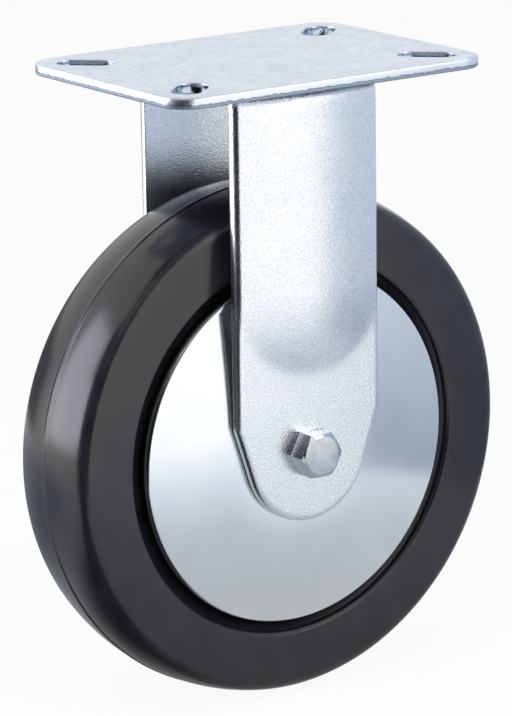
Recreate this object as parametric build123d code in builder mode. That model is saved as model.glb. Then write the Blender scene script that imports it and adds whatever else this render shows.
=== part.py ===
"""Fixed castor: a solid rubber tyre on a moulded core between two dished steel faces, turning on
a caged roller bearing in a pressed fork that is welded under a slotted top plate.

Millimetres. X is the rolling direction, Y runs along the axle and Z is up. The origin is the
centre of the top plate's upper face.
"""

import os
from math import asin, cos, degrees, pi, radians, sin, sqrt, tan

from build123d import *

os.makedirs("parts", exist_ok=True)

# Overall
wheel_diameter = 152.4
wheel_top_below_plate_top = 35.4

# Top plate
plate_length = 108.0
plate_width = 79.0
plate_thickness = 3.3
plate_corner_radius = 9.0
plate_edge_roll = 0.7
slot_width = 9.0
slot_length = 17.0
slot_inset_x = 12.75
slot_inset_y = 13.3
slot_angle = 45.0
slot_edge_roll = 0.6

# Fork
tyre_leg_gap = 4.0
fork_thickness = 3.0
leg_width = 50.2
leg_end_inset = 4.3
leg_shoulder_above_axle = 9.8
leg_shoulder_rounding = 3.0
bend_inner_radius = 2.6
swell_height = 4.0
swell_foot_above_axle = 23.8
weld_bead_radius = 2.0
weld_length = 32.0
weld_groove_angle = 45.0

# Axle bolt, lock nut and inner sleeve
bolt_diameter = 7.9
bolt_projection = 3.6
bolt_tip_chamfer = 1.0
hex_wall = 2.4
bolt_head_height = 6.1
head_chamfer_inset = 0.75
hex_chamfer_angle = 30.0
nut_hex_height = 5.6
nut_height = 8.6
nut_collar_inset = 0.65
nut_collar_wall = 0.8
nylon_ring_height = 2.0
thread_clearance = 0.05
axle_hole_clearance = 0.25
sleeve_wall = 2.4
sleeve_bore_clearance = 0.15

# Roller bearing
roller_count = 8
roller_diameter = 4.0
cage_end_wall = 2.4
roller_clearance = 0.05
roller_end_chamfer = 0.3
cage_wall = 2.8
cage_pocket_clearance = 0.2
cage_end_clearance = 0.3
cap_thickness = 1.2
cap_recess = 0.6
cap_sleeve_clearance = 0.25
cap_fit_clearance = 0.02

# Wheel core, hub tube and face discs
hub_tube_wall = 1.6
hub_flange_width = 3.45
hub_flange_thickness = 1.2
disc_rim_below_tread = 23.6
disc_thickness = 1.2
disc_flat_width = 6.6
disc_seat_margin = 1.5
disc_seat_depth = 1.4
disc_leg_clearance = 0.5
disc_rim_beyond_tyre = 0.6
disc_corner_radius = 1.3
disc_groove_clearance = 0.4
disc_tube_clearance = 0.1
core_rim_below_disc_rim = 4.1
core_rim_wall = 5.5
core_hub_wall = 6.45
core_web_thickness = 5.0
core_rib_thickness = 2.6
core_rib_inset = 2.0
core_rib_bite = 2.0
core_tube_clearance = 0.02
core_disc_clearance = 0.1
core_rib_count = 8

# Tyre
tyre_width = 33.8
tread_edge_inset = 3.2
tread_crown_drop = 2.2
sidewall_top_below_tread = 5.0
shoulder_arc_radius = 3.3
groove_width = 3.5
lip_bevel = 0.8
sidewall_lean = 0.25
groove_depth = 2.9

# Sizes that several pieces share
mounting_height = wheel_diameter + wheel_top_below_plate_top
tyre_radius = wheel_diameter / 2
side_y = tyre_width / 2
groove_floor_y = side_y - groove_depth
disc_radius = tyre_radius - disc_rim_below_tread
core_rim_radius = disc_radius - core_rim_below_disc_rim
fork_gap = tyre_width + 2 * tyre_leg_gap
hex_across_flats = bolt_diameter + 2 * hex_wall
quarter_turn = 90.0

axle_z = tyre_radius - mounting_height
axle = Axis((0, 0, axle_z), (0, 1, 0))
axle_section = Plane(origin=(0, 0, axle_z), x_dir=(0, 1, 0), z_dir=(1, 0, 0))


def across_axle(y):
    """Plane square to the axle at this distance along it, centred on the axle, facing +Y."""
    return Plane(origin=(0, y, axle_z), x_dir=(1, 0, 0), z_dir=(0, 1, 0))


# Top plate: one pressing with rounded corners and a slot near each corner, along the diagonal
with BuildPart() as top_plate:
    with BuildSketch() as plate_outline:
        RectangleRounded(plate_length, plate_width, plate_corner_radius)
    extrude(amount=-plate_thickness)
    plate_rim = top_plate.edges().group_by(Axis.Z)[-1]
    fillet(plate_rim, plate_edge_roll)
    with BuildSketch() as slots:
        for x_side, y_side in ((-1, -1), (-1, 1), (1, -1), (1, 1)):
            slot_x = x_side * (plate_length / 2 - slot_inset_x)
            slot_y = y_side * (plate_width / 2 - slot_inset_y)
            with Locations(Location((slot_x, slot_y), x_side * y_side * slot_angle)):
                SlotOverall(slot_length, slot_width)
    extrude(amount=-plate_thickness, mode=Mode.SUBTRACT)
    plate_top = top_plate.faces().sort_by(Axis.Z)[-1]
    slot_rims = ShapeList(edge for wire in plate_top.inner_wires() for edge in wire.edges())
    fillet(slot_rims, slot_edge_roll)
top_plate.part.label = "top_plate"
export_step(top_plate.part, "parts/top_plate.step")

# Fork: one strip folded into a U. Each leg swells outwards, and the swell ends above the axle
leg_outer = fork_gap / 2 + fork_thickness
leg_inner = fork_gap / 2
leg_end_radius = leg_width / 2 - leg_end_inset
web_top = -plate_thickness
web_bottom = web_top - fork_thickness
swell_radius = ((leg_width / 2) ** 2 + swell_height**2) / (2 * swell_height)
swell_centre = swell_radius - leg_outer - swell_height
swell_end_z = axle_z + swell_foot_above_axle + leg_width / 2
bend_outer_radius = bend_inner_radius + fork_thickness
leg_shoulder_z = axle_z + leg_shoulder_above_axle
beyond_legs = 2 * (leg_outer + swell_height)


def swollen_block(radius, width, top_z, fold_radius):
    """Solid between two swollen leg faces. Each swell ends at the bottom in part of a sphere."""
    with BuildPart() as swell_end:
        with Locations((0, -swell_centre, swell_end_z)):
            Sphere(radius)
        with Locations((0, swell_centre, swell_end_z)):
            Sphere(radius, mode=Mode.INTERSECT)
        split(bisect_by=Plane.XY.offset(swell_end_z), keep=Keep.BOTTOM)
    with BuildPart() as block:
        with BuildSketch(Plane.XY.offset(top_z)):
            with Locations((0, -swell_centre)):
                Circle(radius)
            with Locations((0, swell_centre)):
                Circle(radius, mode=Mode.INTERSECT)
            Rectangle(width, beyond_legs, mode=Mode.INTERSECT)
        extrude(amount=swell_end_z - top_z)
        fold_edges = block.edges().group_by(Axis.Z)[-1].filter_by(GeomType.CIRCLE)
        fillet(fold_edges, fold_radius)
        add(swell_end.part)
    return block.part


outer_form = swollen_block(swell_radius, leg_width, web_top, bend_outer_radius)
cavity_width = leg_width + 2 * fork_thickness
cavity_form = swollen_block(
    swell_radius - fork_thickness, cavity_width, web_bottom, bend_inner_radius
)
flat_leg_height = swell_end_z - axle_z + leg_end_radius
cavity_box_top = web_bottom - bend_inner_radius
axle_hole_radius = bolt_diameter / 2 + axle_hole_clearance

with BuildPart() as fork:
    add(outer_form)
    with Locations((0, 0, swell_end_z)):
        Box(leg_width, 2 * leg_outer, flat_leg_height, align=(Align.CENTER, Align.CENTER, Align.MAX))
    with BuildSketch(Plane.XZ) as leg_outline:
        with Locations((0, axle_z)):
            Circle(leg_end_radius)
        with Locations((0, leg_shoulder_z)):
            Rectangle(leg_width, web_top - leg_shoulder_z, align=(Align.CENTER, Align.MIN))
        make_hull()
        shoulders = leg_outline.vertices().group_by(Axis.Y)[1]
        fillet(shoulders, leg_shoulder_rounding)
    extrude(amount=beyond_legs, both=True, mode=Mode.INTERSECT)
    add(cavity_form, mode=Mode.SUBTRACT)
    with Locations((0, 0, cavity_box_top)):
        Box(
            cavity_width,
            fork_gap,
            mounting_height,
            align=(Align.CENTER, Align.CENTER, Align.MAX),
            mode=Mode.SUBTRACT,
        )
    with BuildSketch(across_axle(0)):
        Circle(axle_hole_radius)
    extrude(amount=beyond_legs, both=True, mode=Mode.SUBTRACT)
fork.part.label = "fork"
export_step(fork.part, "parts/fork.step")

# Welds: one bead on each side, laid in the groove between the fold and the plate
bead_out = bend_outer_radius * sin(radians(weld_groove_angle))
bead_up = bend_outer_radius * cos(radians(weld_groove_angle))
bead_path_radius = swell_radius - bend_outer_radius + bead_out
bead_z = web_top - bend_outer_radius + bead_up
bead_half_angle = degrees(asin(weld_length / 2 / bead_path_radius))
for side, weld_name in ((-1, "near_weld"), (1, "far_weld")):
    with BuildPart() as weld:
        with BuildLine() as seam:
            CenterArc(
                (0, -side * swell_centre, bead_z),
                bead_path_radius,
                side * quarter_turn - bead_half_angle,
                2 * bead_half_angle,
            )
        with BuildSketch(Plane(origin=seam.line @ 0, z_dir=seam.line % 0)):
            Circle(weld_bead_radius)
        sweep()
        with Locations(seam.line @ 0, seam.line @ 1):
            Sphere(weld_bead_radius)
        add(fork.part, mode=Mode.SUBTRACT)
        add(top_plate.part, mode=Mode.SUBTRACT)
    weld.part.label = weld_name
    export_step(weld.part, f"parts/{weld_name}.step")

# Axle bolt: hex head outside the near leg, plain shank through the sleeve, nut on the far leg
bolt_radius = bolt_diameter / 2
head_seat = -leg_outer
bolt_length = 2 * leg_outer + nut_height + bolt_projection
head_face = head_seat - bolt_head_height
head_chamfer_radius = hex_across_flats / 2 - head_chamfer_inset
hex_rise = (hex_across_flats - head_chamfer_radius) * tan(radians(hex_chamfer_angle))
with BuildPart() as axle_bolt:
    with BuildSketch(across_axle(head_face)):
        RegularPolygon(hex_across_flats / 2, 6, major_radius=False)
    extrude(amount=bolt_head_height)
    with BuildSketch(axle_section):
        with BuildLine():
            Polyline(
                (head_seat, 0),
                (head_face, 0),
                (head_face, head_chamfer_radius),
                (head_face + hex_rise, hex_across_flats),
                (head_seat, hex_across_flats),
                close=True,
            )
        make_face()
    revolve(axis=axle, mode=Mode.INTERSECT)
    with BuildSketch(across_axle(head_seat)):
        Circle(bolt_radius)
    extrude(amount=bolt_length)
    bolt_tip = axle_bolt.faces().sort_by(Axis.Y)[-1]
    chamfer(bolt_tip.edges(), bolt_tip_chamfer)
axle_bolt.part.label = "axle_bolt"
export_step(axle_bolt.part, "parts/axle_bolt.step")

# Lock nut: hexagon with a collar that is rolled in over a nylon ring
nut_seat = leg_outer
nut_hex_top = nut_seat + nut_hex_height
nut_top = nut_seat + nut_height
thread_radius = bolt_radius + thread_clearance
collar_radius = hex_across_flats / 2 - nut_collar_inset
ring_seat_radius = collar_radius - nut_collar_wall
ring_top = nut_top - nut_collar_wall
ring_bottom = ring_top - nylon_ring_height
lip_inner_radius = (thread_radius + ring_seat_radius) / 2
with BuildPart() as lock_nut:
    with BuildSketch(across_axle(nut_seat)):
        RegularPolygon(hex_across_flats / 2, 6, major_radius=False)
    extrude(amount=nut_hex_height)
    with BuildSketch(axle_section):
        with BuildLine():
            Polyline(
                (nut_seat, 0),
                (nut_seat, hex_across_flats),
                (nut_hex_top - hex_rise, hex_across_flats),
                (nut_hex_top, collar_radius),
                (nut_hex_top, 0),
                close=True,
            )
        make_face()
    revolve(axis=axle, mode=Mode.INTERSECT)
    with BuildSketch(across_axle(nut_hex_top)):
        Circle(collar_radius)
    extrude(amount=nut_top - nut_hex_top)
    collar_rim = lock_nut.faces().sort_by(Axis.Y)[-1].edges()
    fillet(collar_rim, nut_collar_wall)
    with BuildSketch(axle_section):
        with BuildLine():
            Polyline(
                (nut_seat, 0),
                (nut_seat, thread_radius),
                (ring_bottom, thread_radius),
                (ring_bottom, ring_seat_radius),
                (ring_top, ring_seat_radius),
                (ring_top, lip_inner_radius),
                (nut_top, lip_inner_radius),
                (nut_top, 0),
                close=True,
            )
        make_face()
    revolve(axis=axle, mode=Mode.SUBTRACT)
lock_nut.part.label = "lock_nut"
export_step(lock_nut.part, "parts/lock_nut.step")

# Nylon ring in the nut's collar: it grips the thread
with BuildPart() as nut_ring:
    with BuildSketch(across_axle(ring_bottom)):
        Circle(ring_seat_radius)
        Circle(thread_radius, mode=Mode.SUBTRACT)
    extrude(amount=nylon_ring_height)
nut_ring.part.label = "nut_ring"
export_step(nut_ring.part, "parts/nut_ring.step")

# Inner sleeve: the bolt clamps it between the legs, and the rollers run on it
sleeve_radius = bolt_radius + sleeve_wall
with BuildPart() as inner_sleeve:
    with BuildSketch(across_axle(-leg_inner)):
        Circle(sleeve_radius)
        Circle(bolt_radius + sleeve_bore_clearance, mode=Mode.SUBTRACT)
    extrude(amount=fork_gap)
inner_sleeve.part.label = "inner_sleeve"
export_step(inner_sleeve.part, "parts/inner_sleeve.step")

# Face discs: dished pressings. The rim is turned in and the middle is sunk for the tube's flange
roller_radius = roller_diameter / 2
roller_pitch_radius = sleeve_radius + roller_clearance + roller_radius
tube_bore_radius = roller_pitch_radius + roller_radius + roller_clearance
tube_outer_radius = tube_bore_radius + hub_tube_wall
hub_flange_radius = tube_outer_radius + hub_flange_width
disc_seat_radius = hub_flange_radius + disc_seat_margin
disc_flat_radius = disc_seat_radius + disc_seat_depth + disc_flat_width
disc_rim_offset = side_y + disc_rim_beyond_tyre
disc_flat_y = leg_inner - disc_leg_clearance
disc_seat_y = disc_flat_y - disc_seat_depth
disc_flange_y = groove_floor_y + disc_groove_clearance
for side, disc_name in ((-1, "near_disc"), (1, "far_disc")):
    with BuildPart() as disc:
        with BuildSketch(axle_section):
            with BuildLine():
                FilletPolyline(
                    (disc_seat_y, tube_outer_radius + disc_tube_clearance),
                    (disc_seat_y, disc_seat_radius),
                    (disc_flat_y, disc_seat_radius + disc_seat_depth),
                    (disc_flat_y, disc_flat_radius),
                    (disc_rim_offset, disc_radius),
                    (disc_flange_y, disc_radius),
                    radius=disc_corner_radius,
                )
                offset(amount=disc_thickness, side=Side.LEFT)
            make_face()
            if side < 0:
                mirror(about=Plane.YZ, mode=Mode.REPLACE)
        revolve(axis=axle)
    disc.part.label = disc_name
    export_step(disc.part, f"parts/{disc_name}.step")

# Hub tube: the outer race. Its flanged ends hold both discs against the core
flange_y = disc_seat_y + hub_flange_thickness
with BuildPart() as hub_tube:
    with BuildSketch(axle_section):
        with BuildLine():
            Polyline(
                (0, tube_bore_radius),
                (flange_y, tube_bore_radius),
                (flange_y, hub_flange_radius),
                (disc_seat_y, hub_flange_radius),
                (disc_seat_y, tube_outer_radius),
                (0, tube_outer_radius),
            )
            mirror(about=Plane.YZ)
        make_face()
    revolve(axis=axle)
hub_tube.part.label = "hub_tube"
export_step(hub_tube.part, "parts/hub_tube.step")

# Bearing caps: pressed washers that close the ends of the hub tube
cap_outer_y = flange_y - cap_recess
cap_inner_y = cap_outer_y - cap_thickness
for cap_start, cap_name in ((-cap_outer_y, "near_bearing_cap"), (cap_inner_y, "far_bearing_cap")):
    with BuildPart() as cap:
        with BuildSketch(across_axle(cap_start)):
            Circle(tube_bore_radius - cap_fit_clearance)
            Circle(sleeve_radius + cap_sleeve_clearance, mode=Mode.SUBTRACT)
        extrude(amount=cap_thickness)
    cap.part.label = cap_name
    export_step(cap.part, f"parts/{cap_name}.step")

# Roller cage: a sleeve with one pocket for each roller
cage_half_length = cap_inner_y - cage_end_clearance
pocket_half_length = cage_half_length - cage_end_wall
roller_length = 2 * (pocket_half_length - cage_pocket_clearance)
with BuildPart() as bearing_cage:
    with BuildSketch(across_axle(0)):
        Circle(roller_pitch_radius + cage_wall / 2)
        Circle(roller_pitch_radius - cage_wall / 2, mode=Mode.SUBTRACT)
    extrude(amount=cage_half_length, both=True)
    with BuildSketch(across_axle(0)):
        with PolarLocations(roller_pitch_radius, roller_count):
            Circle(roller_radius + cage_pocket_clearance)
    extrude(amount=pocket_half_length, both=True, mode=Mode.SUBTRACT)
bearing_cage.part.label = "bearing_cage"
export_step(bearing_cage.part, "parts/bearing_cage.step")

# Rollers
for index in range(roller_count):
    turn = 2 * pi * index / roller_count
    roller_x = roller_pitch_radius * cos(turn)
    roller_z = axle_z + roller_pitch_radius * sin(turn)
    with BuildPart() as roller:
        with BuildSketch(Plane(origin=(roller_x, -roller_length / 2, roller_z), z_dir=(0, 1, 0))):
            Circle(roller_radius)
        extrude(amount=roller_length)
        chamfer(roller.edges().filter_by(GeomType.CIRCLE), roller_end_chamfer)
    roller.part.label = f"roller_{index + 1}"
    export_step(roller.part, f"parts/roller_{index + 1}.step")

# Wheel core: a moulding with a hub, a web with ribs and a rim that carries the tyre
dish_slope = (disc_flat_y - disc_rim_offset) / (disc_radius - disc_flat_radius)
sheet_depth = disc_thickness * sqrt(1 + dish_slope**2) + core_disc_clearance
core_hub_radius = tube_outer_radius + core_hub_wall
core_bore_radius = tube_outer_radius + core_tube_clearance
core_hub_y = disc_seat_y - disc_thickness - core_disc_clearance
core_rim_inner = core_rim_radius - core_rim_wall


def under_disc(radius):
    """Distance along the axle to the core's side under the dished part of a disc."""
    return disc_flat_y - (radius - disc_flat_radius) * dish_slope - sheet_depth


with BuildPart() as wheel_core:
    with BuildSketch(axle_section):
        with BuildLine():
            Polyline(
                (0, core_bore_radius),
                (core_hub_y, core_bore_radius),
                (core_hub_y, core_hub_radius),
                (core_web_thickness / 2, core_hub_radius),
                (core_web_thickness / 2, core_rim_inner),
                (under_disc(core_rim_inner), core_rim_inner),
                (under_disc(core_rim_radius), core_rim_radius),
                (0, core_rim_radius),
            )
            mirror(about=Plane.YZ)
        make_face()
    revolve(axis=axle)
    with BuildSketch(across_axle(0)):
        with PolarLocations((core_hub_radius + core_rim_inner) / 2, core_rib_count):
            Rectangle(core_rim_inner - core_hub_radius + core_rib_bite, core_rib_thickness)
    extrude(amount=under_disc(core_rim_inner) - core_rib_inset, both=True)
wheel_core.part.label = "wheel_core"
export_step(wheel_core.part, "parts/wheel_core.step")

# Tyre: moulded on the core's rim, with a crowned tread and a sunk ring round each disc
lip_y = side_y - sidewall_lean
lip_foot_radius = disc_radius + groove_width
sidewall_top_radius = tyre_radius - sidewall_top_below_tread
tread_edge_offset = side_y - tread_edge_inset
tread_edge_radius = tyre_radius - tread_crown_drop
crown_radius = (tread_edge_offset**2 + tread_crown_drop**2) / (2 * tread_crown_drop)
with BuildPart() as tyre:
    with BuildSketch(axle_section):
        with BuildLine():
            Polyline(
                (0, core_rim_radius),
                (groove_floor_y, core_rim_radius),
                (groove_floor_y, lip_foot_radius),
                (lip_y - lip_bevel, lip_foot_radius),
                (lip_y, lip_foot_radius + lip_bevel),
                (side_y, sidewall_top_radius),
            )
            RadiusArc(
                (side_y, sidewall_top_radius),
                (tread_edge_offset, tread_edge_radius),
                -shoulder_arc_radius,
            )
            RadiusArc((tread_edge_offset, tread_edge_radius), (0, tyre_radius), -crown_radius)
            mirror(about=Plane.YZ)
        make_face()
    revolve(axis=axle)
tyre.part.label = "tyre"
export_step(tyre.part, "parts/tyre.step")
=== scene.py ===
"""Looks of the fixed castor: plate, fork, wheel and axle bolt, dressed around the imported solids.

Metres. X is the rolling direction, Y runs along the axle, Z is up, and the origin is the centre of
the top plate's upper face.
"""

from math import acos, atan2, cos, hypot, pi, radians, sin, sqrt, tan

import bmesh
import bpy
from mathutils import Matrix, Vector, noise


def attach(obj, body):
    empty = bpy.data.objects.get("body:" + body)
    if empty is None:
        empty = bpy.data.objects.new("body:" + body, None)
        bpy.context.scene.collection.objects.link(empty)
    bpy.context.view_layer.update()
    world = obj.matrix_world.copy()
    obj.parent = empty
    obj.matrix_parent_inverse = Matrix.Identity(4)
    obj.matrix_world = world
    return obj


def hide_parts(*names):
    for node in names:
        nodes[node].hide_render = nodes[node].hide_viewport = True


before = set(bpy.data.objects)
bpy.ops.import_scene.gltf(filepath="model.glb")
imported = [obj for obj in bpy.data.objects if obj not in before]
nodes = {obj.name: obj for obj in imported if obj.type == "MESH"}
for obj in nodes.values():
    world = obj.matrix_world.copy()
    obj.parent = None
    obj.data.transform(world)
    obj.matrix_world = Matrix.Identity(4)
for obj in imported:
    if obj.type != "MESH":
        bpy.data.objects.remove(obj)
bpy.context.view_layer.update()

# Camera: it stands left of the axle and a little above the plate, as for the photograph, with a
# long lens. Its height, turn and distance come from fitting the plate, the fork and the wheel.
AZIMUTH, ELEVATION, ROLL = radians(35.24), radians(14.63), radians(-0.90)
DISTANCE, AIM_RIGHT, AIM_HEIGHT = 1.11293, -0.00159, -0.08863
FOCAL_PIXELS, FRAME_HEIGHT, SENSOR = 3813.0, 716, 36.0

right = Vector((cos(AZIMUTH), -sin(AZIMUTH), 0))
back = Vector((-sin(AZIMUTH) * cos(ELEVATION), -cos(AZIMUTH) * cos(ELEVATION), sin(ELEVATION)))
up = back.cross(right)
camera = bpy.data.objects.new("camera", bpy.data.cameras.new("camera"))
bpy.context.scene.collection.objects.link(camera)
image_x = right * cos(ROLL) + up * sin(ROLL)
image_y = up * cos(ROLL) - right * sin(ROLL)
placed = Matrix((image_x, image_y, back)).transposed().to_4x4()
placed.translation = right * AIM_RIGHT + Vector((0, 0, AIM_HEIGHT)) + back * DISTANCE
camera.matrix_world = placed
camera.data.sensor_width = SENSOR
camera.data.lens = FOCAL_PIXELS / FRAME_HEIGHT * SENSOR
camera.data.clip_start, camera.data.clip_end = 0.05, 20.0
bpy.context.scene.camera = camera
bpy.context.scene.view_settings.view_transform = "Standard"

# Top plate: a 3.3 mm mild steel pressing, zinc plated. The punched edge is burnished where the
# tool sheared it and torn and dull below, the rims of the slots are rounded, and the face keeps
# faint rolling marks and blotches.
MM = 0.001
PLATE_THICKNESS, PLATE_ROLL, SLOT_RIM = 3.3 * MM, 0.7 * MM, 0.6 * MM
# The slots end inside this X and, with the margin taken off, inside this Y
SLOT_REACH, SLOT_MARGIN = 50.0 * MM, 15.0 * MM
# Sizes of the surface patterns. Squeezed coordinates draw the streaks out along X.
BLOTCH, STREAK, PEEL, TEAR, STREAK_SQUEEZE = 11 * MM, 1.3 * MM, 0.5 * MM, 1.3 * MM, 0.45
TORN_SHAKE, TORN_ROUGHNESS, TORN_PITS = 0.18, 0.18, 4.0
BUMP_DEPTH, SAME_POINT, SHARP, ROUNDING_STEPS = 0.1 * MM, 0.001 * MM, radians(28), 3


def linear(colour):
    """The linear colour of an sRGB hex colour, with an alpha of one."""
    channels = [int(colour[i : i + 2], 16) / 255 for i in (1, 3, 5)]
    curve = [c / 12.92 if c <= 0.04045 else ((c + 0.055) / 1.055) ** 2.4 for c in channels]
    return (*curve, 1.0)


def add(tree, kind, inputs, stops=(), **settings):
    """Add a node. An input is given a value, or is linked when it is given a socket or a node."""
    made = tree.nodes.new("ShaderNode" + kind)
    for name, value in settings.items():
        setattr(made, name, value)
    for name, value in inputs.items():
        if isinstance(value, bpy.types.Node):
            value = value.outputs[0]
        if isinstance(value, bpy.types.NodeSocket):
            tree.links.new(value, made.inputs[name])
        else:
            made.inputs[name].default_value = value
    for at, (position, colour) in enumerate(stops):
        band = made.color_ramp.elements
        element = band[at] if at < len(band) else band.new(position)
        element.position, element.color = position, linear(colour)
    return made


def start(name):
    """An empty material, its tree, and the object's own coordinates for the patterns."""
    made = bpy.data.materials.new(name)
    made.use_nodes = True
    made.node_tree.nodes.clear()
    return made, made.node_tree, add(made.node_tree, "TexCoord", {}).outputs["Object"]


def finish_metal(tree, colour, roughness, relief, strength):
    """Close a plated or bare metal: its colour, its roughness and its bumps."""
    bumps = add(tree, "Bump", {"Height": relief, "Strength": strength, "Distance": BUMP_DEPTH})
    inputs = {"Base Color": colour, "Metallic": 1.0, "Roughness": roughness, "Normal": bumps}
    add(tree, "OutputMaterial", {"Surface": add(tree, "BsdfPrincipled", inputs)})


def shown(name, mesh_from, material, body, slot, *replaced):
    """Make a finished piece of a bmesh: smooth, normals outward and on its body. Its slot is not
    used.
    """
    mesh = bpy.data.meshes.new(name)
    bmesh.ops.recalc_face_normals(mesh_from, faces=mesh_from.faces)
    mesh_from.to_mesh(mesh)
    mesh_from.free()
    mesh.polygons.foreach_set("use_smooth", [True] * len(mesh.polygons))
    piece = bpy.data.objects.new(name, mesh)
    bpy.context.scene.collection.objects.link(piece)
    mesh.materials.append(material)
    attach(piece, body)
    if replaced:
        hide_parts(*replaced)
    return piece


def softened(name, source, width, material, body, slot, shape=None):
    """A copy of a CAD node with its sharp edges rounded, standing for that node."""
    copy = bmesh.new()
    copy.from_mesh(nodes[source].data)
    bmesh.ops.remove_doubles(copy, verts=copy.verts, dist=SAME_POINT)
    if shape:
        shape(copy)
    piece = shown(name, copy, material, body, slot, source)
    rounding = piece.modifiers.new("rounding", "BEVEL")
    rounding.width, rounding.segments = width, ROUNDING_STEPS
    rounding.limit_method, rounding.angle_limit = "ANGLE", SHARP
    rounding.harden_normals = rounding.use_clamp_overlap = True
    return piece


plate_zinc, tree, place = start("zinc_on_rolled_steel")
spot = add(tree, "SeparateXYZ", {"Vector": place})
height = spot.outputs["Z"]
blotch = add(tree, "TexNoise", {"Vector": place, "Scale": 1 / BLOTCH, "Detail": 4.0})
along = add(tree, "Mapping", {"Vector": place, "Scale": (STREAK_SQUEEZE, 1.0, 1.0)})
streak = add(tree, "TexNoise", {"Vector": along, "Scale": 1 / STREAK, "Detail": 4.0})
peel = add(tree, "TexNoise", {"Vector": place, "Scale": 1 / PEEL, "Detail": 1.0})
tear = add(tree, "TexNoise", {"Vector": place, "Scale": 1 / TEAR, "Detail": 4.0})
patches = ((0.32, "#cbd5e2"), (0.52, "#d8e0ea"), (0.70, "#e4eaf2"))
face = add(tree, "ValToRGB", {"Fac": blotch}, stops=patches)
share = add(tree, "MapRange", {"Value": streak, "From Min": 0.4, "From Max": 0.65, "To Max": 0.7})
rolled = add(tree, "MixRGB", {"Fac": share, "Color1": face, "Color2": linear("#b9c6d6")})
# Down the edge from 0 at the face to 1 at the underside, shaken by the torn steel
depth = add(tree, "MapRange", {"Value": height, "From Min": 0.0, "From Max": -PLATE_THICKNESS})
shake = add(tree, "MapRange", {"Value": tear, "To Min": -TORN_SHAKE, "To Max": TORN_SHAKE})
shaken = add(tree, "Math", {0: depth, 1: shake}, operation="ADD")
sheared = ((0.10, "#e4e9ef"), (0.60, "#dfe5ec"), (0.65, "#6a7583"))
sheared += ((0.70, "#78838f"), (0.77, "#a9b4c2"), (1.0, "#8d99a8"))
edge = add(tree, "ValToRGB", {"Fac": shaken}, stops=sheared)
# The slots were pierced by a polished punch, so their walls are clean and glossy
along_x = add(tree, "Math", {0: spot.outputs["X"]}, operation="ABSOLUTE")
along_y = add(tree, "Math", {0: spot.outputs["Y"]}, operation="ABSOLUTE")
along_y = add(tree, "Math", {0: along_y, 1: SLOT_MARGIN})
reach = add(tree, "Math", {0: along_x, 1: along_y}, operation="MAXIMUM")
outer = add(tree, "Math", {0: reach, 1: SLOT_REACH}, operation="GREATER_THAN")
edge = add(tree, "MixRGB", {"Fac": outer, "Color1": linear("#c3cedb"), "Color2": edge})
flat = {"Value": height, "From Min": -PLATE_ROLL, "From Max": -PLATE_ROLL * 0.2}
on_face = add(tree, "MapRange", flat)
colour = add(tree, "MixRGB", {"Fac": on_face, "Color1": edge, "Color2": rolled})
torn = add(tree, "ValToRGB", {"Fac": shaken}, stops=((0.64, "#000000"), (0.71, "#ffffff")))
torn = add(tree, "Math", {0: torn, 1: outer}, operation="MULTIPLY")
satin = add(tree, "MapRange", {"Value": blotch, "To Min": 0.26, "To Max": 0.42})
polished = add(tree, "MapRange", {"Value": blotch, "To Min": 0.14, "To Max": 0.20})
walls = add(tree, "Math", {0: outer, 1: on_face}, operation="MAXIMUM")
satin = add(tree, "MixRGB", {"Fac": walls, "Color1": polished, "Color2": satin})
rough = add(tree, "Math", {0: torn, 1: TORN_ROUGHNESS, 2: satin}, operation="MULTIPLY_ADD")
pits = add(tree, "Math", {0: tear, 1: torn}, operation="MULTIPLY")
relief = add(tree, "Math", {0: pits, 1: TORN_PITS, 2: peel}, operation="MULTIPLY_ADD")
finish_metal(tree, colour, rough, relief, 0.3)
softened("plate", "top_plate", SLOT_RIM, plate_zinc, "bracket", "zinc_plate")

# Fork: one 3 mm steel strip, blanked, swelled, folded into a U and zinc plated. It has the orange
# peel of a stretched sheet, edges rolled by the blanking tool and a soft foot to each swell.
AXLE_Z = -111.6 * MM
LEG_OUTER, FORK_THICKNESS = 23.9 * MM, 3.0 * MM
LEG_HALF, LEG_END_RADIUS = 25.1 * MM, 20.8 * MM
SHOULDER_Z, SWELL_FOOT_Z = AXLE_Z + 9.8 * MM, AXLE_Z + 23.8 * MM
SWELL_HEIGHT, FOLD_RADIUS, WEB_TOP = 4.0 * MM, 5.6 * MM, -PLATE_THICKNESS
SWELL_RADIUS = (LEG_HALF**2 + SWELL_HEIGHT**2) / (2 * SWELL_HEIGHT)
SWELL_END_Z = SWELL_FOOT_Z + LEG_HALF
WELD_TOE, SCORCH_DROP, SCORCH_FULL, SCORCH_END = -6.25 * MM, 1.5 * MM, 4 * MM, 14 * MM
SPATTER, CLOUD_SHARE, SCORCH_ROUGHNESS = 0.9 * MM, 0.15, 0.25
FOOT_SOFTNESS, OUTER_ROLL, INNER_ROLL, AXLE_HOLE = 0.3 * MM, 1.6 * MM, 0.35 * MM, 4.2 * MM
ROLL_STEPS = tuple(step * MM for step in (0.0, 0.04, 0.13, 0.27, 0.46, 0.7, 1.0, 1.3, 1.6, 2.3))
# How far apart the strip's points stand, across it and along its parts
ACROSS_STEP, STRAIGHT_STEP, FOOT_STEP, LEG_STEP = 0.9 * MM, 1.5 * MM, 0.6 * MM, 2.0 * MM
FOOT_LEAD, END_SHARE, FOLD_STEP, WEB_SHARES = 3 * MM, 0.04, pi / 16, (1.0, 0.75, 0.5, 0.25)
HOLE_SIDES = 48
side_rise = atan2(SHOULDER_Z - AXLE_Z, LEG_HALF)
shoulder_reach = hypot(SHOULDER_Z - AXLE_Z, LEG_HALF)
# Angle below level at which the straight side below a shoulder runs into the round end
TOUCH = acos(LEG_END_RADIUS / shoulder_reach) - side_rise


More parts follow.
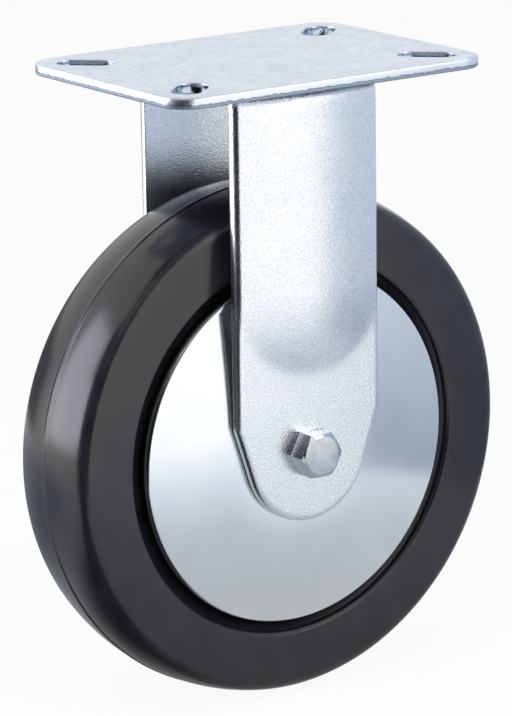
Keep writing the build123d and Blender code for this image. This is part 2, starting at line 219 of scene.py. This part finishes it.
def steps_between(low, high, step):
    """Evenly spaced values from low to high, about this far apart, without the last."""
    count = max(round((high - low) / step), 1)
    return [low + (high - low) * i / count for i in range(count)]


def swell(x, z):
    """How far a leg stands out: part of a cylinder, closed below by part of a sphere."""
    below = max(SWELL_END_Z - z, 0.0)
    flat_side = SWELL_RADIUS - SWELL_HEIGHT
    proud = sqrt(max(SWELL_RADIUS**2 - x * x - below * below, 0.0)) - flat_side
    level = sqrt(SWELL_RADIUS**2 - x * x) - flat_side
    soft = (proud + hypot(proud, 2 * FOOT_SOFTNESS)) / 2
    # Only the foot is soft, so what the softness adds at the long edges is taken off again
    side = (level + hypot(level, 2 * FOOT_SOFTNESS)) / 2 - level
    return soft - side * max(1 - below / LEG_HALF, 0.0) ** 2


def from_edge(x, z):
    """Distance from a point of a leg to the nearest edge of the blank."""
    across, rise = abs(x), z - AXLE_Z
    slanted = LEG_END_RADIUS - across * cos(TOUCH) + rise * sin(TOUCH)
    nearest = min(LEG_HALF - across, slanted)
    if rise < -across * tan(TOUCH):
        nearest = LEG_END_RADIUS - hypot(across, rise)
    return max(nearest, 0.0)


def leg_outline(share, x_share):
    """Point of the leg below its shoulders: share runs up from the round end, x_share across."""
    touch_x, touch_z = LEG_END_RADIUS * cos(TOUCH), AXLE_Z - LEG_END_RADIUS * sin(TOUCH)
    corner = pi / 4

    def side(along):
        """Right-hand edge, from half way round the end's quarter circle up to the shoulder."""
        arc = LEG_END_RADIUS * (pi / 2 - TOUCH - corner)
        line = hypot(LEG_HALF - touch_x, SHOULDER_Z - touch_z)
        walked = along * (arc + line)
        if walked < arc:
            turn = pi / 2 - corner - walked / LEG_END_RADIUS
            return LEG_END_RADIUS * cos(turn), AXLE_Z - LEG_END_RADIUS * sin(turn)
        part = (walked - arc) / line
        return touch_x + part * (LEG_HALF - touch_x), touch_z + part * (SHOULDER_Z - touch_z)

    side_x, side_z = side(share)
    corner_x, corner_z = side(0.0)
    turn = x_share * corner
    arc_x, arc_z = LEG_END_RADIUS * sin(turn), AXLE_Z - LEG_END_RADIUS * cos(turn)
    x = side_x * x_share + (1 - share) * (arc_x - corner_x * x_share)
    return x, side_z + (1 - share) * (arc_z - corner_z)


def fork_point(station, x_share, inner):
    """Point of the folded strip. Stations run from one round end over the web to the other."""
    kind, value, side = station
    x, z = x_share * LEG_HALF, value
    if kind == "end":
        x, z = leg_outline(value, x_share)
    on_leg = kind in ("end", "leg")
    gap = from_edge(x, z) if on_leg else LEG_HALF - abs(x)
    bend = INNER_ROLL if inner else OUTER_ROLL
    roll = bend - sqrt(bend**2 - max(bend - gap, 0.0) ** 2)
    sunk = FORK_THICKNESS - roll if inner else roll
    outer = LEG_OUTER + swell(x, z if on_leg else WEB_TOP)
    if on_leg:
        return Vector((x, side * (outer - sunk), z))
    fold_y = outer - FOLD_RADIUS
    if kind == "fold":
        reach = FOLD_RADIUS - sunk
        y, z = fold_y + reach * cos(value), WEB_TOP - FOLD_RADIUS + reach * sin(value)
        return Vector((x, side * y, z))
    return Vector((x, side * fold_y * value, WEB_TOP - sunk))


def cut(piece, cutter):
    """Take the cutter's shape out of a piece and remove the cutter."""
    tool = bpy.data.objects.new("cutter", bpy.data.meshes.new("cutter"))
    cutter.to_mesh(tool.data)
    cutter.free()
    bpy.context.scene.collection.objects.link(tool)
    hole = piece.modifiers.new("hole", "BOOLEAN")
    hole.operation, hole.solver, hole.object = "DIFFERENCE", "EXACT", tool
    ready = piece.evaluated_get(bpy.context.evaluated_depsgraph_get())
    mesh = bpy.data.meshes.new_from_object(ready)
    piece.modifiers.clear()
    piece.data = mesh
    bpy.data.objects.remove(tool)


fork_zinc, tree, place = start("zinc_on_pressed_steel")
cloud = add(tree, "TexNoise", {"Vector": place, "Scale": 1 / BLOTCH, "Detail": 3.0})
peel = add(tree, "TexNoise", {"Vector": place, "Scale": 1 / PEEL, "Detail": 2.0})
speckle = add(tree, "Math", {0: cloud, 1: CLOUD_SHARE, 2: peel}, operation="MULTIPLY_ADD")
tones = ((0.42, "#dbe0e6"), (0.57, "#e9ecf0"), (0.72, "#f5f7f9"))
clean = add(tree, "ValToRGB", {"Fac": speckle}, stops=tones)
# Scorch and spatter of the weld show as a ragged line along its toe
spot = add(tree, "SeparateXYZ", {"Vector": place})
toe = {"Value": spot.outputs["Z"], "From Min": WELD_TOE - SCORCH_DROP, "From Max": WELD_TOE}
run_out = {"Value": spot.outputs["X"], "From Min": SCORCH_END, "From Max": SCORCH_FULL}
near_weld = {0: add(tree, "MapRange", toe), 1: add(tree, "MapRange", run_out)}
near_weld = add(tree, "Math", near_weld, operation="MULTIPLY")
burnt = add(tree, "TexNoise", {"Vector": place, "Scale": 1 / SPATTER, "Detail": 4.0})
burnt = add(tree, "Math", {0: near_weld, 1: burnt})
scorch = add(tree, "MapRange", {"Value": burnt, "From Min": 1.25, "From Max": 1.35})
colour = add(tree, "MixRGB", {"Fac": scorch, "Color1": clean, "Color2": linear("#434a54")})
satin = add(tree, "MapRange", {"Value": cloud, "To Min": 0.22, "To Max": 0.30})
rough = add(tree, "Math", {0: scorch, 1: SCORCH_ROUGHNESS, 2: satin}, operation="MULTIPLY_ADD")
finish_metal(tree, colour, rough, peel, 0.7)

across = [-1 + step / LEG_HALF for step in ROLL_STEPS]
across += steps_between(across[-1], 0.0, ACROSS_STEP / LEG_HALF)[1:]
across += [0.0] + [-share for share in reversed(across)]
end_height = SHOULDER_Z - AXLE_Z + LEG_END_RADIUS
half = [("end", step / end_height) for step in ROLL_STEPS]
half += [("end", v) for v in steps_between(ROLL_STEPS[-1] / end_height, 1.0, END_SHARE)[1:]]
half += [("leg", z) for z in steps_between(SHOULDER_Z, SWELL_FOOT_Z - FOOT_LEAD, STRAIGHT_STEP)]
half += [("leg", z) for z in steps_between(SWELL_FOOT_Z - FOOT_LEAD, SWELL_END_Z, FOOT_STEP)]
half += [("leg", z) for z in steps_between(SWELL_END_Z, WEB_TOP - FOLD_RADIUS, LEG_STEP)]
half += [("fold", turn) for turn in steps_between(0.0, pi / 2, FOLD_STEP)]
half += [("web", share) for share in WEB_SHARES]
stations = [(kind, value, -1) for kind, value in half] + [("web", 0.0, 1)]
stations += [(kind, value, 1) for kind, value in reversed(half)]
blank = bmesh.new()
columns, rows = len(across) - 1, len(stations) - 1
bmesh.ops.create_grid(blank, x_segments=columns, y_segments=rows, size=1.0)
grid_at = {}
for vert in blank.verts:
    grid_at[vert] = round((vert.co.x + 1) / 2 * columns), round((vert.co.y + 1) / 2 * rows)
skin = bmesh.ops.duplicate(blank, geom=blank.faces[:])
for vert, (column, row) in grid_at.items():
    vert.co = fork_point(stations[row], across[column], False)
    skin["vert_map"][vert].co = fork_point(stations[row], across[column], True)
bmesh.ops.bridge_loops(blank, edges=[e for e in blank.edges if e.is_boundary])
fork = shown("pressed_fork", blank, fork_zinc, "bracket", "zinc_fork", "fork")
drill = bmesh.new()
bmesh.ops.create_cone(
    drill,
    cap_ends=True,
    segments=HOLE_SIDES,
    radius1=AXLE_HOLE,
    radius2=AXLE_HOLE,
    depth=4 * LEG_OUTER,
    matrix=Matrix.Translation((0, 0, AXLE_Z)) @ Matrix.Rotation(pi / 2, 4, "X"),
)
cut(fork, drill)

# Welds: a short bead on each side, laid in the groove between the fold and the plate, and plated
# over with its ripples and spatter. WAVE is about a wave texture's scale times its wave's length.
WAVE, RIPPLE = 0.35, 1.2 * MM


def dress(material, *names):
    """Give CAD nodes this material."""
    for name in names:
        for slot in nodes[name].material_slots:
            slot.material = material


weld_zinc, tree, place = start("zinc_on_weld")
ripple = add(tree, "TexWave", {"Vector": place, "Scale": WAVE / RIPPLE, "Distortion": 3.0})
spatter = add(tree, "TexNoise", {"Vector": place, "Scale": 1 / SPATTER, "Detail": 3.0})
tones = ((0.35, "#59616b"), (0.55, "#8b939c"), (0.75, "#c2c8ce"))
colour = add(tree, "ValToRGB", {"Fac": spatter}, stops=tones)
relief = add(tree, "Math", {0: spatter, 1: ripple}, operation="ADD")
rough = add(tree, "MapRange", {"Value": spatter, "To Min": 0.4, "To Max": 0.6})
finish_metal(tree, colour, rough, relief, 0.9)
dress(weld_zinc, "near_weld", "far_weld")

# Axle bolt and lock nut: cold-headed steel, zinc plated, holding the legs on the sleeve. The hex
# corners are rounded by the die, and the thread shows past the nut.
THREAD_START, THREAD_END, THREAD_PITCH = 32.6 * MM, 35.4 * MM, 1.25 * MM
THREAD_CREST, THREAD_ROOT, TURN_STEPS = 3.9 * MM, 3.2 * MM, 48
CREST_WIDTH, THREAD_SUNK, FLANK_SLOPE = 0.12 * MM, 0.02 * MM, radians(30)
HEAD_ROUNDING, NUT_ROUNDING = 0.1 * MM, 0.15 * MM
SMEAR, DRAWN, TURNED, DRAWN_SHARE = 2.5 * MM, 0.5 * MM, 0.9 * MM, 1.5

bolt_zinc, tree, place = start("zinc_on_cold_headed_steel")
smear = add(tree, "TexNoise", {"Vector": place, "Scale": 1 / SMEAR, "Detail": 4.0})
drawn = add(tree, "TexNoise", {"Vector": place, "Scale": 1 / DRAWN, "Detail": 2.0})
colour = add(tree, "ValToRGB", {"Fac": smear}, stops=((0.35, "#bac0c6"), (0.65, "#c9ced3")))
rough = add(tree, "MapRange", {"Value": smear, "To Min": 0.13, "To Max": 0.18})
about = {"Vector": place, "Location": (0, 0, -AXLE_Z), "Scale": (1.0, 0.0, 1.0)}
rings = {"Vector": add(tree, "Mapping", about), "Scale": WAVE / TURNED, "Distortion": 1.0}
lathe = add(tree, "TexWave", rings, wave_type="RINGS", rings_direction="SPHERICAL")
relief = add(tree, "Math", {0: drawn, 1: DRAWN_SHARE, 2: lathe}, operation="MULTIPLY_ADD")
finish_metal(tree, colour, rough, relief, 0.08)


def turned_down(copy):
    """Take the bolt's end down to the thread's root, where the thread is laid on."""
    for vert in copy.verts:
        radial = Vector((vert.co.x, 0, vert.co.z - AXLE_Z))
        if vert.co.y > THREAD_START and radial.length > THREAD_ROOT:
            shrunk = radial * (THREAD_ROOT / radial.length)
            vert.co = Vector((shrunk.x, vert.co.y, AXLE_Z + shrunk.z))


softened("bolt", "axle_bolt", HEAD_ROUNDING, bolt_zinc, "bracket", "zinc_bolt", turned_down)
softened("nut", "lock_nut", NUT_ROUNDING, bolt_zinc, "bracket", "zinc_bolt")
thread = bmesh.new()
flank = (THREAD_CREST - THREAD_ROOT) * tan(FLANK_SLOPE)
ridge = [(THREAD_START, THREAD_ROOT), (THREAD_START + flank, THREAD_CREST)]
ridge.append((THREAD_START + flank + CREST_WIDTH, THREAD_CREST))
ridge.append((THREAD_START + 2 * flank, THREAD_ROOT))
points = [thread.verts.new((0, y, AXLE_Z + r - THREAD_SUNK)) for y, r in ridge]
edges = [thread.edges.new(pair) for pair in zip(points, points[1:] + points[:1])]
turns = (THREAD_END - THREAD_START - 2 * flank) / THREAD_PITCH
steps = round(turns * TURN_STEPS)
bmesh.ops.spin(
    thread,
    geom=points + edges,
    cent=(0, 0, AXLE_Z),
    axis=(0, 1, 0),
    dvec=(0, THREAD_PITCH / TURN_STEPS, 0),
    angle=2 * pi * turns,
    steps=steps,
)
bmesh.ops.holes_fill(thread, edges=[e for e in thread.edges if e.is_boundary])
shown("bolt_thread", thread, bolt_zinc, "bracket", "zinc_bolt")

# Nylon ring in the nut, and the ground steel of the bearing that the wheel runs on: sleeve, tube,
# caps, cage and rollers, with the fine lines of grinding round the axle.
HAZE, GRIND, GRIND_SQUEEZE = 1.5 * MM, 0.3 * MM, 0.02
nylon, tree, place = start("moulded_nylon")
haze = add(tree, "TexNoise", {"Vector": place, "Scale": 1 / HAZE, "Detail": 2.0})
colour = add(tree, "ValToRGB", {"Fac": haze}, stops=((0.3, "#cfd3d8"), (0.7, "#e3e6ea")))
rough = add(tree, "MapRange", {"Value": haze, "To Min": 0.35, "To Max": 0.5})
plastic = {"Base Color": colour, "Roughness": rough, "IOR": 1.53, "Subsurface Weight": 0.1}
plastic["Subsurface Scale"] = 1 * MM
add(tree, "OutputMaterial", {"Surface": add(tree, "BsdfPrincipled", plastic)})
dress(nylon, "nut_ring")

ground, tree, place = start("ground_bearing_steel")
squeeze = (GRIND_SQUEEZE, 1.0, GRIND_SQUEEZE)
lines = add(tree, "Mapping", {"Vector": place, "Scale": squeeze})
grind = add(tree, "TexNoise", {"Vector": lines, "Scale": 1 / GRIND, "Detail": 2.0})
colour = add(tree, "ValToRGB", {"Fac": grind}, stops=((0.3, "#8f9297"), (0.7, "#b4b6ba")))
rough = add(tree, "MapRange", {"Value": grind, "To Min": 0.22, "To Max": 0.36})
finish_metal(tree, colour, rough, grind, 0.2)
dress(ground, "inner_sleeve", "hub_tube", "near_bearing_cap", "far_bearing_cap", "bearing_cage")
dress(ground, *(name for name in nodes if name.startswith("roller_")))

# Wheel core: a hub, a ribbed web and a rim in one black plastic moulding that carries the tyre.
# The face discs close it in, so its own solid is dressed, with the fine grain of the mould.
GRAIN = 0.8 * MM
core_plastic, tree, place = start("moulded_core_plastic")
grain = add(tree, "TexNoise", {"Vector": place, "Scale": 1 / GRAIN, "Detail": 2.0})
colour = add(tree, "ValToRGB", {"Fac": grain}, stops=((0.3, "#202124"), (0.7, "#2b2c30")))
rough = add(tree, "MapRange", {"Value": grain, "To Min": 0.4, "To Max": 0.6})
bumps = add(tree, "Bump", {"Height": grain, "Strength": 0.2, "Distance": BUMP_DEPTH})
plastic = {"Base Color": colour, "Roughness": rough, "IOR": 1.49, "Normal": bumps}
add(tree, "OutputMaterial", {"Surface": add(tree, "BsdfPrincipled", plastic)})
dress(core_plastic, "wheel_core")

# Face discs: 1.2 mm steel pressings, bright zinc plated and glossy enough to mirror the leg. The
# rim is turned in, the middle is flat, and the face slopes away between them.
DISC_THICKNESS, DISC_CORNER, FLAT_ROUNDING, ARC_STEPS = 1.2 * MM, 1.4 * MM, 90 * MM, 6
DISC_BORE, DISC_SEAT, DISC_FLAT = 12.15 * MM, 17.0 * MM, 25.0 * MM
DISC_RADIUS, SEAT_Y, FLAT_Y = 52.6 * MM, 19.0 * MM, 20.4 * MM
RIM_Y, FLANGE_Y, DISC_STEPS = 17.5 * MM, 14.4 * MM, 240
VEIL, FINE = 16 * MM, 0.7 * MM


def eased(corners):
    """Points of an outline of (along the axle, radius, rounding) corners, rounded by arcs."""
    points = []
    for at, (y, radius, rounding) in enumerate(corners):
        corner = Vector((y, radius))
        if not rounding:
            points.append(tuple(corner))
            continue
        before = (Vector(corners[at - 1][:2]) - corner).normalized()
        after = (Vector(corners[(at + 1) % len(corners)][:2]) - corner).normalized()
        half = before.angle(after) / 2
        centre = corner + (before + after).normalized() * rounding / sin(half)
        first, last = (corner + way * rounding / tan(half) - centre for way in (before, after))
        for step in range(ARC_STEPS + 1):
            points.append(tuple(centre + first.slerp(last, step / ARC_STEPS) * rounding))
    return points


def spun(outline, count, closed):
    """A bmesh of this outline of (along the axle, radius) points, turned round the axle."""
    made = bmesh.new()
    points = [made.verts.new((0, y, AXLE_Z + radius)) for y, radius in outline]
    pairs = list(zip(points, points[1:])) + ([(points[-1], points[0])] if closed else [])
    edges = [made.edges.new(pair) for pair in pairs]
    bmesh.ops.spin(
        made,
        geom=points + edges,
        cent=(0, 0, AXLE_Z),
        axis=(0, 1, 0),
        angle=2 * pi,
        steps=count,
        use_merge=True,
    )
    return made


disc_zinc, tree, place = start("bright_zinc_on_disc")
veil = add(tree, "TexNoise", {"Vector": place, "Scale": 1 / VEIL, "Detail": 3.0})
fine = add(tree, "TexNoise", {"Vector": place, "Scale": 1 / FINE, "Detail": 2.0})
colour = add(tree, "ValToRGB", {"Fac": veil}, stops=((0.35, "#ebeff1"), (0.65, "#f1f4f5")))
rough = add(tree, "MapRange", {"Value": veil, "To Min": 0.13, "To Max": 0.18})
finish_metal(tree, colour, rough, fine, 0.04)
corners = [(SEAT_Y, DISC_BORE, 0), (SEAT_Y, DISC_SEAT, DISC_CORNER)]
corners.append((FLAT_Y, DISC_SEAT + FLAT_Y - SEAT_Y, DISC_CORNER))
corners.append((FLAT_Y, DISC_FLAT, FLAT_ROUNDING))
corners += [(RIM_Y, DISC_RADIUS, DISC_CORNER), (FLANGE_Y, DISC_RADIUS, 0)]
for side, disc_name in ((-1, "near_disc"), (1, "far_disc")):
    disc = spun([(side * y, radius) for y, radius in eased(corners)], DISC_STEPS, False)
    face = shown(disc_name + "_face", disc, disc_zinc, "wheel", "zinc_disc", disc_name)
    wall = face.modifiers.new("wall", "SOLIDIFY")
    wall.thickness, wall.offset, wall.use_even_offset = DISC_THICKNESS, -1.0, True

# Tyre: black rubber moulded on the core between two half moulds. A thin ridge of flash marks where
# they met, the tread is crowned, and a sunk ring with a bevelled lip surrounds each disc.
TREAD_RADIUS, SIDE_Y, BORE_RADIUS = 76.2 * MM, 16.9 * MM, 48.5 * MM
GROOVE_Y, LIP_FOOT, LIP_BEVEL = 14.0 * MM, 56.1 * MM, 0.8 * MM
LIP_EASE, LEAN = 0.45 * MM, 0.25 * MM
TREAD_Y, CROWN_DROP, SHOULDER = 13.7 * MM, 2.2 * MM, 3.9 * MM
FLASH_HALF, FLASH_HEIGHT, FLASH_TIP = 0.65 * MM, 0.28 * MM, 0.4
FLASH_WANDER, WANDER_RATE, BLOOM, PORES = 0.3 * MM, 4, 9 * MM, 0.5 * MM
# Steps round the tyre, round its shoulder, and across the tread as shares of its half width
TYRE_STEPS, SHOULDER_STEP = 288, pi / 22
TREAD_SHARES = (1.0, 0.88, 0.74, 0.6, 0.46, 0.32, 0.18, 0.1)
CROWN_RADIUS = (TREAD_Y**2 + CROWN_DROP**2) / (2 * CROWN_DROP)


def crown(y):
    """Radius of the tread at this distance from the parting line, without the flash."""
    fall = CROWN_RADIUS - sqrt(CROWN_RADIUS**2 - y * y)
    return TREAD_RADIUS - FLASH_HEIGHT * (1 - abs(y) / TREAD_Y) - fall


rubber, tree, place = start("moulded_black_rubber")
bloom = add(tree, "TexNoise", {"Vector": place, "Scale": 1 / BLOOM, "Detail": 4.0})
pores = add(tree, "TexNoise", {"Vector": place, "Scale": 1 / PORES, "Detail": 2.0})
colour = add(tree, "ValToRGB", {"Fac": bloom}, stops=((0.3, "#18171c"), (0.7, "#222127")))
rough = add(tree, "MapRange", {"Value": bloom, "To Min": 0.17, "To Max": 0.25})
bumps = add(tree, "Bump", {"Height": pores, "Strength": 0.1, "Distance": BUMP_DEPTH})
soft = {"Base Color": colour, "Roughness": rough, "IOR": 1.58, "Normal": bumps}
add(tree, "OutputMaterial", {"Surface": add(tree, "BsdfPrincipled", soft)})

side = [(GROOVE_Y, BORE_RADIUS, 0), (GROOVE_Y, LIP_FOOT, 0)]
side.append((SIDE_Y - LEAN - LIP_BEVEL, LIP_FOOT, LIP_EASE))
side.append((SIDE_Y - LEAN, LIP_FOOT + LIP_BEVEL, LIP_EASE))
# The shoulder's arc leaves the sidewall and runs into the crowned tread without an edge
centre_y = SIDE_Y - SHOULDER
rise = sqrt((CROWN_RADIUS - SHOULDER) ** 2 - centre_y**2)
centre_r = TREAD_RADIUS - CROWN_RADIUS + rise
for turn in steps_between(0.0, atan2(rise, centre_y), SHOULDER_STEP):
    side.append((centre_y + SHOULDER * cos(turn), centre_r + SHOULDER * sin(turn), 0))
for share in TREAD_SHARES:
    side.append((TREAD_Y * share, crown(TREAD_Y * share), 0))
side.append((FLASH_HALF, crown(FLASH_HALF), 0))
side.append((FLASH_HALF * FLASH_TIP, crown(0) + FLASH_HEIGHT, 0))
profile = eased(side + [(-y, radius, rounding) for y, radius, rounding in reversed(side)])
tyre = spun(profile, TYRE_STEPS, True)
for vert in tyre.verts:
    turn = atan2(vert.co.z - AXLE_Z, vert.co.x)
    if abs(vert.co.y) < 2 * FLASH_HALF and hypot(vert.co.x, vert.co.z - AXLE_Z) > centre_r:
        around = Vector((WANDER_RATE * cos(turn), WANDER_RATE * sin(turn), 0))
        vert.co.y += FLASH_WANDER * noise.noise(around)
shown("rubber_tyre", tyre, rubber, "wheel", "tyre_rubber", "tyre")

# Studio: a white floor that keeps the shadow, a white background, soft lamps, and boards that only
# shiny surfaces see, as they stand in a studio round bright metal and black rubber.
FLOOR_Z, FLOOR_DROP, FLOOR_SIZE, POOL = -187.8 * MM, 0.05 * MM, 6.0, 0.5
PLAIN_SHARE, FLOOR_SHINE = 0.93, 1.15


def board(name, bearing, distance, aside, width, foot, head, colours, strength=1.0, lean=0):
    """A board that only shines, by its bearing and distance from the castor's upright middle line.

    Aside moves it along itself, its colours run upwards, and lean tips it about its own middle.
    """
    made = bmesh.new()
    bmesh.ops.create_grid(made, x_segments=1, y_segments=1, size=0.5)
    bmesh.ops.scale(made, vec=(width, head - foot, 1), verts=made.verts)
    mesh = bpy.data.meshes.new(name)
    made.to_mesh(mesh)
    made.free()
    stood = bpy.data.objects.new(name, mesh)
    turn = radians(bearing)
    x, y = distance * sin(turn) + aside * cos(turn), aside * sin(turn) - distance * cos(turn)
    stood.location = (x, y, (foot + head) / 2)
    stood.rotation_euler = (radians(lean - 90), 0, turn)
    bpy.context.scene.collection.objects.link(stood)
    paint, tree, place = start(name + "_paint")
    rise = add(tree, "SeparateXYZ", {"Vector": place}).outputs["Y"]
    span = {"Value": rise, "From Min": (head - foot) / 2, "From Max": -(head - foot) / 2}
    stops = [(i / (len(colours) - 1), colour) for i, colour in enumerate(colours)]
    shade = add(tree, "ValToRGB", {"Fac": add(tree, "MapRange", span)}, stops=stops)
    glow = add(tree, "Emission", {"Color": shade, "Strength": strength})
    add(tree, "OutputMaterial", {"Surface": glow})
    mesh.materials.append(paint)
    stood.visible_camera = stood.visible_diffuse = stood.visible_shadow = False


floor_mesh = bpy.data.meshes.new("floor")
sheet = bmesh.new()
bmesh.ops.create_grid(sheet, x_segments=1, y_segments=1, size=FLOOR_SIZE)
bmesh.ops.translate(sheet, vec=(0, 0, FLOOR_Z - FLOOR_DROP), verts=sheet.verts)
sheet.to_mesh(floor_mesh)
sheet.free()
floor = bpy.data.objects.new("floor", floor_mesh)
bpy.context.scene.collection.objects.link(floor)
paper, tree, place = start("white_paper")
matt = add(tree, "BsdfDiffuse", {"Color": linear("#f6f6f6")})
white = add(tree, "Emission", {"Color": linear("#ffffff"), "Strength": 1.0})
path = add(tree, "LightPath", {})
# The camera sees the paper as plain white, but for the small matt share that shows the shadow
seen = {0: path.outputs["Is Camera Ray"], 1: PLAIN_SHARE}
seen = add(tree, "Math", seen, operation="MULTIPLY")
sheet_shader = add(tree, "MixShader", {0: seen, 1: matt, 2: white})
# Shiny surfaces see the paper dimmer near the castor, which shades it.
near = add(tree, "Mapping", {"Vector": place, "Scale": (1 / POOL, 1 / POOL, 0.0)})
pool = add(tree, "TexGradient", {"Vector": near}, gradient_type="SPHERICAL")
dimmed = ((0.30, "#ffffff"), (0.50, "#dde4ee"), (0.72, "#b9bfc6"), (0.88, "#b4b7b9"))
shine = add(tree, "ValToRGB", {"Fac": pool.outputs["Fac"]}, stops=dimmed)
# They see painted shade in three ovals, darker still: from the wheel's foot to the dark board,
# along that board, and behind the wheel. Each has its middle's X and Y, its turn in degrees, its
# half length, its half width and its tone.
shade_ovals = [(-0.18, -0.065, 27, 0.2, 0.085, "#2a2a2c"), (-0.255, -0.14, -61, 0.3, 0.075, "#2a2a2c")]
shade_ovals.append((-0.1, 0.25, 0, 0.25, 0.2, "#b9bdc5"))
for x, y, turn, length, width, tone in shade_ovals:
    spread = {"Vector": place, "Location": (x, y, FLOOR_Z), "Rotation": (0, 0, radians(turn))}
    shade_oval = add(tree, "Mapping", spread | {"Scale": (length, width, 1.0)}, vector_type="TEXTURE")
    shade_oval = add(tree, "TexGradient", {"Vector": shade_oval}, gradient_type="SPHERICAL")
    shaded = ((0.05, "#ffffff"), (0.30, tone))
    shade_oval = add(tree, "ValToRGB", {"Fac": shade_oval.outputs["Fac"]}, stops=shaded)
    shine = {"Fac": 1.0, "Color1": shine, "Color2": shade_oval}
    shine = add(tree, "MixRGB", shine, blend_type="MULTIPLY")
glow = add(tree, "Emission", {"Color": shine, "Strength": FLOOR_SHINE})
shone = path.outputs["Is Glossy Ray"]
sheet_shader = add(tree, "MixShader", {0: shone, 1: sheet_shader, 2: glow})
add(tree, "OutputMaterial", {"Surface": sheet_shader})
floor_mesh.materials.append(paper)

world = bpy.data.worlds.new("studio")
world.use_nodes = True
tree = world.node_tree
tree.nodes.clear()
path = add(tree, "LightPath", {})
# The camera, shiny surfaces and clear ones see plain white, and the rest is lit more softly
direct = {0: path.outputs["Is Camera Ray"], 1: path.outputs["Is Glossy Ray"]}
bright = {0: add(tree, "Math", direct), 1: path.outputs["Is Transmission Ray"]}
bright = add(tree, "Math", bright, operation="MAXIMUM")
room = add(tree, "Background", {"Color": linear("#e8ecf2"), "Strength": 0.45})
white = add(tree, "Background", {"Color": linear("#ffffff"), "Strength": 1.0})
add(tree, "OutputWorld", {"Surface": add(tree, "MixShader", {0: bright, 1: room, 2: white})})
bpy.context.scene.world = world

# A bearing is in degrees from straight before the near leg, towards the right. After the name
# come bearing, distance, aside, width, foot and head, colours from the foot up, and strength.
blues = ("#9da7b8", "#c4d0e2", "#d5dfeb", "#dde5ef")
board("dark_board", -61, 0.34, 0.0, 0.58, -0.187, 0.3, ("#101114", "#101114"))
board("dark_top", -48, 0.336, 0.0, 0.6, 0.2, 0.8, ("#101114", "#101114"), lean=90)
board("strip", -126, 1.0, 0.0, 0.52, -0.18, 0.65, ("#f8f7ff", "#eceaff"), 5.2)
board("back_board", 176, 0.6, 0.0, 0.7, -0.187, 0.02, ("#7b7c82", "#7b7c82"))
board("front_board", 8, 1.1, 0.0, 1.0, -0.1, 0.9, ("#ffffff", "#ffffff"), 1.2)
board("blue_board", 72, 0.20, 0.075, 0.41, -0.187, 0.1, blues)


def lamp(name, location, aim, size, energy, colour):
    """A soft square lamp that faces a point."""
    light = bpy.data.lights.new(name, "AREA")
    light.shape, light.size, light.energy = "SQUARE", size, energy
    light.color = linear(colour)[:3]
    made = bpy.data.objects.new(name, light)
    made.location = location
    facing = Vector(location) - Vector(aim)
    made.rotation_mode = "QUATERNION"
    made.rotation_quaternion = facing.to_track_quat("Z", "Y")
    bpy.context.scene.collection.objects.link(made)


lamp("key", (-0.75, -0.55, 1.0), (0, 0, -0.08), 0.7, 9.0, "#ffffff")
lamp("left_lamp", (-1.2, 0.25, 0.1), (0, 0, -0.1), 0.5, 4.0, "#f2f0ff")
lamp("front_low", (0.45, -1.1, 0.35), (0, 0, -0.1), 0.6, 6.0, "#ffffff")
